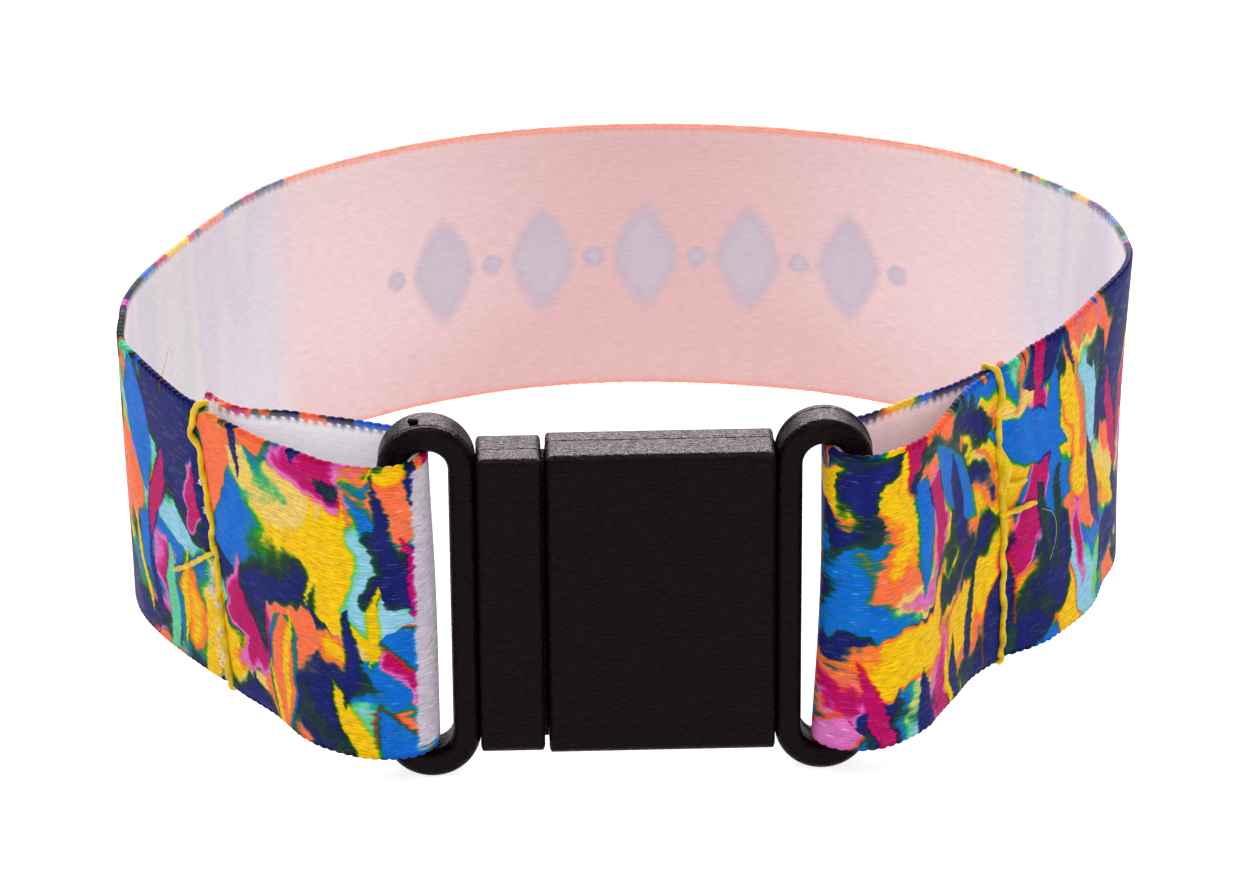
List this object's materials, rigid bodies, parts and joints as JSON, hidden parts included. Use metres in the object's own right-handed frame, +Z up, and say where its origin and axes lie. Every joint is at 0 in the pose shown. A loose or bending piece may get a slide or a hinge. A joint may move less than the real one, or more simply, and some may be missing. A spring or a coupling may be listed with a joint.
{
  "type": "fabric wristband",
  "caption": "Wristband of printed satin ribbon, closed into a loop by a flat black plastic side-release clasp whose rings hold the ribbon's sewn folds.",
  "frame": {"origin": "on the floor under the middle of the band's bounding box", "axes": "+X to the right along the clasp's face, +Y from the clasp towards the back of the loop, +Z up along the loop's axis"},
  "size_m": [0.0672, 0.0598, 0.0238],
  "materials": {
    "ribbon": "satin weave, printed in bright paint-like patches outside, pale inside, with picot selvedges and yellow sewing thread",
    "clasp": "fine moulded grain, matte"
  },
  "bodies": {
    "root": {"ribbon": "ribbon", "clasp_tongue_half": "clasp", "clasp_socket_half": "clasp"}
  },
  "joints": []
}
